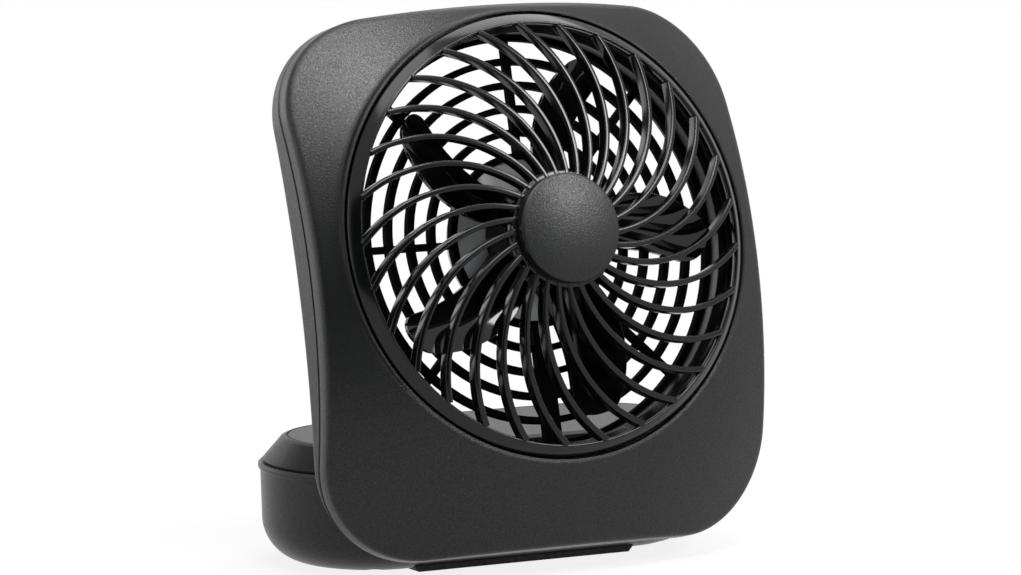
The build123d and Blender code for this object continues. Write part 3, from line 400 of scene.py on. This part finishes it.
# %% [markdown]
# ### Ribs
# Each rib is a bar on an arc that passes through the fan axis, laid on the dome. A curve with a
# bevel profile would lean over with the dome, but a moulded rib stands upright so that it can leave
# its tool. So the section is carried along the arc point by point, and only its height follows the
# dome. Both ends of a rib run a little way into the disc and the ring.

# %% Ribs
# RIB_ARC is the radius of the arc, and RIB_ROOT is how far a rib starts inside the edge of the disc.
HUB_RADIUS = 19.2
RIB_COUNT = 29
RIB_WIDTH = 1.9
RIB_DEPTH = 4.0
RIB_EDGE = 0.55
RIB_ARC = 46.0
RIB_START = radians(3.6)
RIB_ROOT = 1.5
RIB_STEPS = 26


def rounded_section(width, depth, edge, steps=4):
    """Outline of a rib: across and down from the dome, with rounded upper edges."""
    half = width / 2
    right = [(half - edge + edge * sin(a), -edge + edge * cos(a))
             for a in [pi / 2 * step / steps for step in range(steps + 1)]]
    left = [(-across, down) for across, down in reversed(right)]
    return left + right + [(half, -depth), (-half, -depth)]


def rib_rings(turn):
    """Cross-sections along one rib, as rings of points."""
    start = 2 * asin((HUB_RADIUS - RIB_ROOT) / (2 * RIB_ARC))
    end = 2 * asin((RING_INNER + RIB_EDGE / 2) / (2 * RIB_ARC))
    section = rounded_section(RIB_WIDTH, RIB_DEPTH, RIB_EDGE)
    rings = []
    for step in range(RIB_STEPS + 1):
        bend = start + (end - start) * step / RIB_STEPS
        along = Vector((-RIB_ARC + RIB_ARC * cos(bend), RIB_ARC * sin(bend), 0))
        across = Vector((cos(bend), sin(bend), 0))
        ring = []
        for out, down in section:
            point = along + across * out
            point.z = dome(point.xy.length) + down
            ring.append(Matrix.Rotation(turn, 3, "Z") @ point)
        rings.append(ring)
    return rings


print("a rib has", len(rib_rings(0)), "sections of", len(rib_rings(0)[0]), "points")

# %% [markdown]
# ### Ring and hub disc
# The ring and the disc are round, so one section of each is enough: a list of radius and height that
# is turned about the fan axis. Writing the section point by point lets the rounded edges of the ring
# touch its slope exactly.

# %% Ring and hub disc
# RING_TILT is the direction in which the slope of the ring faces, up from straight outwards.
RING_EDGE = 1.5
RING_TILT = atan2(RING_WIDTH, RING_RISE)
SKIRT = 2.2
SKIRT_FOOT = -4.0
HUB_BORE = 3.1


def corner(centre_r, centre_z, edge, start, end, steps=5):
    """Points of a rounded corner, from one angle to another."""
    angles = [start + (end - start) * step / steps for step in range(steps + 1)]
    return [(centre_r + edge * cos(a), centre_z + edge * sin(a)) for a in angles]


def slope_corner(radius, edge, start, end):
    """A rounded corner that touches the ring's slope, with its middle at a distance from the fan axis."""
    height = (RING_RADIUS - radius) * RING_RISE / RING_WIDTH - edge / sin(RING_TILT)
    return corner(radius, height, edge, start, end)


def ring_profile():
    """Section of the edge ring: a slope with a rounded outer edge and a skirt under it."""
    outside = slope_corner(RING_RADIUS - RING_EDGE, RING_EDGE, 0, RING_TILT)
    inside = slope_corner(RING_INNER + RIB_EDGE, RIB_EDGE, RING_TILT, pi)
    low = RING_RISE - RIB_DEPTH
    under = [(RING_INNER, low), (RING_RADIUS - SKIRT, low - SKIRT), (RING_RADIUS - SKIRT, SKIRT_FOOT)]
    return outside + inside + under + [(RING_RADIUS, SKIRT_FOOT)]


def hub_profile():
    """Section of the hub disc under the cap."""
    rim = dome(HUB_RADIUS)
    top = corner(HUB_RADIUS - RIB_EDGE, rim - RIB_EDGE, RIB_EDGE, 0, pi / 2)
    return [(HUB_BORE, dome(0) - RIB_DEPTH), (HUB_RADIUS, rim - RIB_DEPTH)] + top + [(HUB_BORE, dome(0))]


def turned_rings(profile, count):
    """A closed profile of radius and height carried round an axis."""
    return [[Vector((r * cos(tau * i / count), r * sin(tau * i / count), z)) for r, z in profile]
            for i in range(count)]


print("section of the ring", len(ring_profile()), "points, of the disc", len(hub_profile()), "points")

# %% [markdown]
# ### The moulding
# The sections are skinned into one mesh. A boolean could melt the ribs into the ring and the disc,
# but they only overlap inside the plastic, where it can't be seen, so they are left as they are and
# every rounding stays clean.

# %% The moulding
RING_POINTS = 180
HUB_POINTS = 96


def join_loops(mesh, near, far):
    """Faces between two closed loops of vertices."""
    for i in range(len(near)):
        j = (i + 1) % len(near)
        mesh.faces.new((near[i], near[j], far[j], far[i]))


def skin_rings(mesh, rings, closed=False):
    """Join neighbouring rings of points with faces and cap the ends of an open run."""
    loops = [[mesh.verts.new(point) for point in ring] for ring in rings]
    following = loops[1:] + loops[:1] if closed else loops[1:]
    for near, far in zip(loops, following):
        join_loops(mesh, near, far)
    if not closed:
        mesh.faces.new(list(reversed(loops[0])))
        mesh.faces.new(loops[-1])


def new_piece(name, mesh, material, body, axes, smooth=40.0):
    """Turn a bmesh drawn in some axes in millimetres into an object that rides on a body.

    Edges that bend by less than smooth, in degrees, are shaded as one surface.
    """
    bmesh.ops.recalc_face_normals(mesh, faces=mesh.faces)
    data = bpy.data.meshes.new(name)
    mesh.to_mesh(data)
    mesh.free()
    data.transform(axes @ Matrix.Scale(MM, 4))
    data.materials.append(material)
    data.set_sharp_from_angle(angle=radians(smooth))
    piece = bpy.data.objects.new(name, data)
    bpy.context.scene.collection.objects.link(piece)
    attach(piece, body)
    return piece


grille_mesh = bmesh.new()
for count in range(RIB_COUNT):
    skin_rings(grille_mesh, rib_rings(RIB_START + tau * count / RIB_COUNT))
skin_rings(grille_mesh, turned_rings(ring_profile(), RING_POINTS), closed=True)
skin_rings(grille_mesh, turned_rings(hub_profile(), HUB_POINTS), closed=True)
grille = new_piece("front_grille_moulding", grille_mesh, satin_abs, "head", head_axes)
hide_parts("front_grille")
print("grille", len(grille.data.vertices), "points")

# %% [markdown]
# ## Screws
# The solids of the screws are plain. Each screw is drawn again with a rounded head and a cross
# recess for the driver. Its place and sizes could be written down a second time, but they are
# measured on its solid instead, along the way it is driven, so the two always agree.

# %% Find and measure the screws
# Lengths are in millimetres. Points beyond RIM_SHARE of the head's radius lie on the side of the head.
WELD = 0.001
SAME_LEVEL = 0.01
UNDER_HEAD = 0.1
RIM_SHARE = 0.95
SCREWS = {"shell_screws": ("head", forward), "motor_screws": ("head", forward),
          "cover_screws": ("base", Vector((0, 0, 1)))}


def loose_parts(node):
    """Points of each separate part of a solid, in millimetres."""
    mesh = bmesh.new()
    mesh.from_mesh(node.data)
    bmesh.ops.remove_doubles(mesh, verts=mesh.verts, dist=WELD * MM)
    mesh.verts.ensure_lookup_table()
    seen = set()
    parts = []
    for first in mesh.verts:
        queue = [] if first.index in seen else [first]
        part = []
        while queue:
            vert = queue.pop()
            if vert.index in seen:
                continue
            seen.add(vert.index)
            part.append(node.matrix_world @ vert.co / MM)
            queue += [edge.other_vert(vert) for edge in vert.link_edges]
        if part:
            parts.append(part)
    mesh.free()
    return parts


def measure_screw(points, driven):
    """Middle of the head's face, head radius, head height, shank radius and length of one screw."""
    face = min(point.dot(driven) for point in points)
    rim = [point for point in points if point.dot(driven) < face + SAME_LEVEL]
    middle = sum(rim, Vector()) / len(rim)
    reach = [((point - middle).dot(driven), (point - middle).cross(driven).length) for point in points]
    radius = max(out for _, out in reach)
    height = max(along for along, out in reach if out > RIM_SHARE * radius)
    shank = max(out for along, out in reach if along > height + UNDER_HEAD)
    return middle, radius, height, shank, max(along for along, _ in reach)


for node_name, (_, driven) in SCREWS.items():
    screw_solids = loose_parts(frame["nodes"][node_name])
    sizes = [round(size, 2) for size in measure_screw(screw_solids[0], driven)[1:]]
    print(node_name, len(screw_solids), "with head radius, head height, shank radius and length", sizes)

# %% [markdown]
# ### Drawing a screw
# The recess could be cut with a boolean, which tends to leave slivers that shade badly. Here the
# face of the head is filled between its round edge and the outline of the cross, and the recess gets
# its walls and floor by hand. Its sizes are shares of the head's radius and height, and its floor is
# a little smaller than its mouth.

# %% Draw the screws
SCREW_POINTS = 48
SCREW_EDGE = 0.3
SCREW_SMOOTH = 30.0
RECESS_REACH = 0.6
RECESS_HALF = 0.16
RECESS_DEPTH = 0.55
RECESS_TAPER = 0.85


def cross_outline(reach, half):
    """Corners of a cross, anticlockwise."""
    arm = [(half, half), (half, reach), (-half, reach)]
    turns = [Matrix.Rotation(pi / 2 * quarter, 2) for quarter in range(4)]
    return [(turn @ Vector(point)).to_3d() for turn in turns for point in arm]


def turned_loops(mesh, place, profile):
    """Loops of vertices round an axis, one for each radius and height of a profile."""
    angles = [tau * i / SCREW_POINTS for i in range(SCREW_POINTS)]
    return [[mesh.verts.new(place @ Vector((r * cos(a), r * sin(a), z))) for a in angles]
            for r, z in profile]


def loop_edges(mesh, loop):
    """Edges round a closed loop of vertices."""
    return [mesh.edges.get(pair) for pair in zip(loop, loop[1:] + loop[:1])]


def add_screw(mesh, points, driven):
    """Draw one screw: a rounded head with a cross recess, and its shank."""
    middle, radius, height, shank, length = measure_screw(points, driven)
    place = Matrix.Translation(middle) @ (-driven).to_track_quat("Z", "Y").to_matrix().to_4x4()
    edge = corner(radius - SCREW_EDGE, -SCREW_EDGE, SCREW_EDGE, pi / 2, 0)
    loops = turned_loops(mesh, place, edge + [(radius, -height), (shank, -height), (shank, -length)])
    for near, far in zip(loops, loops[1:]):
        join_loops(mesh, far, near)
    mesh.faces.new(loops[-1])
    cross = cross_outline(radius * RECESS_REACH, radius * RECESS_HALF)
    sunk = Vector((0, 0, -height * RECESS_DEPTH))
    brim = [mesh.verts.new(place @ point) for point in cross]
    bottom = [mesh.verts.new(place @ (point * RECESS_TAPER + sunk)) for point in cross]
    join_loops(mesh, brim, bottom)
    mesh.faces.new(bottom)
    borders = loop_edges(mesh, loops[0]) + loop_edges(mesh, brim)
    bmesh.ops.triangle_fill(mesh, use_beauty=True, edges=borders)


for node_name, (body, driven) in SCREWS.items():
    screw_mesh = bmesh.new()
    for points in loose_parts(frame["nodes"][node_name]):
        add_screw(screw_mesh, points, driven)
    screws = new_piece(node_name + "_detailed", screw_mesh, zinc_steel, body, Matrix.Identity(4),
                       smooth=SCREW_SMOOTH)
    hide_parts(node_name)
    print(screws.name, len(screws.data.vertices), "points")

# %% [markdown]
# ## The charging pin
# The pin in the middle of the charging socket is nickel-plated, with a rounded nose. The socket is
# one solid, dressed as plastic, so a turned piece in metal covers its pin. The axis of the pin runs
# through the inlet mount, and the sizes are in millimetres.

# %% Charging pin
PIN_RADIUS = 1.1
PIN_NOSE = 0.5
PIN_SUNK = 0.9
PIN_LENGTH = 7.0
PIN_CORE = 0.05
inlet = named(frame["record"]["mounts"], "charging_inlet")
turn = Vector(inlet["axis"]).to_track_quat("Z", "Y").to_matrix().to_4x4()
inlet_axes = Matrix.Translation(Vector(inlet["pos_m"])) @ turn
nose = corner(PIN_RADIUS - PIN_NOSE, -PIN_SUNK - PIN_NOSE, PIN_NOSE, 0, pi / 2)
stem = [(PIN_CORE, -PIN_SUNK), (PIN_CORE, -PIN_LENGTH), (PIN_RADIUS, -PIN_LENGTH)]
pin_mesh = bmesh.new()
skin_rings(pin_mesh, turned_rings(nose + stem, SCREW_POINTS), closed=True)
pin = new_piece("charging_pin", pin_mesh, nickel, "base", inlet_axes)
print("pin", len(pin.data.vertices), "points")

# %% [markdown]
# ## Floor
# The photograph is a cut-out on white. Full white light from all round would wash out the black
# plastic. So the floor is pure white only to rays that come from the camera, off gloss or through
# glass, and matt paint to all others. Near the fan it keeps a part of that paint for every ray, so
# that a faint shadow shows.

# %% Floor
WHITE = linear("#ffffff")
FLOOR_SIZE = 12
FLOOR_GLOW = 0.86
FLOOR_NEAR = 0.12
FLOOR_FAR = 0.5


def seen_directly(tree):
    """1 for rays that show the background: from the camera, off gloss or through glass."""
    path = add_node(tree, "ShaderNodeLightPath")
    glossy = add_node(tree, "ShaderNodeMath", {"operation": "MAXIMUM"},
                      i0=path.outputs["Is Camera Ray"], i1=path.outputs["Is Glossy Ray"])
    both = add_node(tree, "ShaderNodeMath", {"operation": "MAXIMUM"},
                    i0=glossy.outputs[0], i1=path.outputs["Is Transmission Ray"])
    return both.outputs[0]


def mix_surfaces(tree, output, share, first, second):
    """Close a tree with a mix of two shaders."""
    mixed = add_node(tree, "ShaderNodeMixShader", None, i0=share, i1=first.outputs[0], i2=second.outputs[0])
    tree.links.new(mixed.outputs[0], output.inputs["Surface"])


# Matt white paint: it melts into the background, and close to the fan it takes a faint shadow.
floor_paint, tree, output = new_material("white_floor")
place = add_node(tree, "ShaderNodeTexCoord")
away = add_node(tree, "ShaderNodeVectorMath", {"operation": "LENGTH"}, i0=place.outputs["Object"])
ends = {"From Min": FLOOR_NEAR, "From Max": FLOOR_FAR, "To Min": FLOOR_GLOW, "To Max": 1.0}
fade = add_node(tree, "ShaderNodeMapRange", {"interpolation_type": "SMOOTHSTEP"},
                Value=away.outputs["Value"], **ends)
matte = add_node(tree, "ShaderNodeBsdfDiffuse", None, Color=linear("#f3f3f3"))
glow = add_node(tree, "ShaderNodeEmission", None, Color=WHITE, Strength=1.0)
share = add_node(tree, "ShaderNodeMath", {"operation": "MULTIPLY"},
                 i0=seen_directly(tree), i1=fade.outputs["Result"])
mix_surfaces(tree, output, share.outputs[0], matte, glow)
bpy.ops.mesh.primitive_plane_add(size=FLOOR_SIZE)
floor = bpy.context.object
floor.name = "floor"
floor.data.materials.append(floor_paint)
print("floor", FLOOR_SIZE, "m across")

# %% [markdown]
# ## World
# The world does the same for what lies beyond the floor: it is white where it is seen, and a much
# softer light where it falls on the fan. A plain grey world could light the fan as softly, but then
# the background would be grey too.

# %% World
WORLD_LIGHT = 0.12
world = bpy.data.worlds.new("studio")
bpy.context.scene.world = world
world.use_nodes = True
tree = world.node_tree
tree.nodes.clear()
output = tree.nodes.new("ShaderNodeOutputWorld")
soft = add_node(tree, "ShaderNodeBackground", None, Color=WHITE, Strength=WORLD_LIGHT)
white = add_node(tree, "ShaderNodeBackground", None, Color=WHITE, Strength=1.0)
mix_surfaces(tree, output, seen_directly(tree), soft, white)
print("world light", WORLD_LIGHT)

# %% [markdown]
# ## Lamps
# Black plastic shows little of its own colour and mostly what it mirrors, so the lamps are placed as
# things to be mirrored. The key softbox hangs high in front of the fan and a smaller one stands to
# its right. Four much dimmer panels stand on the left, behind and overhead, for the edges and the
# upper faces. Point lamps would give hard dots instead of these soft sheens.

# %% Lamps
# Azimuth and elevation in degrees, then distance, width and height in metres, then brightness.
LAMPS = {
    "key_softbox": (-10, 63, 1.2, 0.5, 0.4, 18),
    "front_softbox": (37, 33, 1.2, 0.36, 0.36, 20),
    "left_panel": (-100, 12, 1.0, 0.5, 0.5, 1.6),
    "rear_left_panel": (-150, 8, 1.2, 0.8, 0.6, 1.5),
    "overhead_panel": (124, 62, 1.1, 0.7, 0.7, 4),
    "top_panel": (-93, 74, 1.1, 0.5, 0.5, 4),
}


def face_the_fan(thing, azimuth, elevation, distance):
    """Stand something at a distance in a direction from the fan, facing it."""
    direction = towards(radians(azimuth), radians(elevation))
    thing.location = axis_point + direction * distance
    thing.rotation_euler = (-direction).to_track_quat("-Z", "Y").to_euler()


def softbox(name, azimuth, elevation, distance, width, height, brightness):
    """A rectangular area lamp that faces the fan; one of brightness 1 looks just white."""
    data = bpy.data.lights.new(name, "AREA")
    data.shape = "RECTANGLE"
    data.size = width
    data.size_y = height
    data.energy = brightness * pi * width * height
    lamp = bpy.data.objects.new(name, data)
    bpy.context.scene.collection.objects.link(lamp)
    face_the_fan(lamp, azimuth, elevation, distance)


for name, place_and_size in LAMPS.items():
    softbox(name, *place_and_size)
print("lamps", list(LAMPS))

# %% [markdown]
# ## The dark card
# A white studio would be mirrored on the whole front of the fan and turn it grey. Photographers hold
# black card beside the lens for this. Here one wide card stands between the camera and the fan, and
# the camera looks through it.

# %% Dark card
CARD_WIDTH = 2.4
CARD_HEIGHT = 1.3
CARD_AZIMUTH = -30
CARD_ELEVATION = 12
CARD_DISTANCE = 1.5
# Black card: no shine at all and hardly any light back.
black_card, tree, output = new_material("black_card")
finish_material(tree, output, Base_Color=linear("#050505"), Roughness=1.0, Specular_IOR_Level=0.0)
bpy.ops.mesh.primitive_plane_add(size=1)
card = bpy.context.object
card.name = "dark_card"
card.scale = (CARD_WIDTH, CARD_HEIGHT, 1)
face_the_fan(card, CARD_AZIMUTH, CARD_ELEVATION, CARD_DISTANCE)
card.visible_camera = False
card.data.materials.append(black_card)
bpy.context.scene.view_settings.view_transform = "Standard"
print("card", CARD_WIDTH, "by", CARD_HEIGHT, "m")
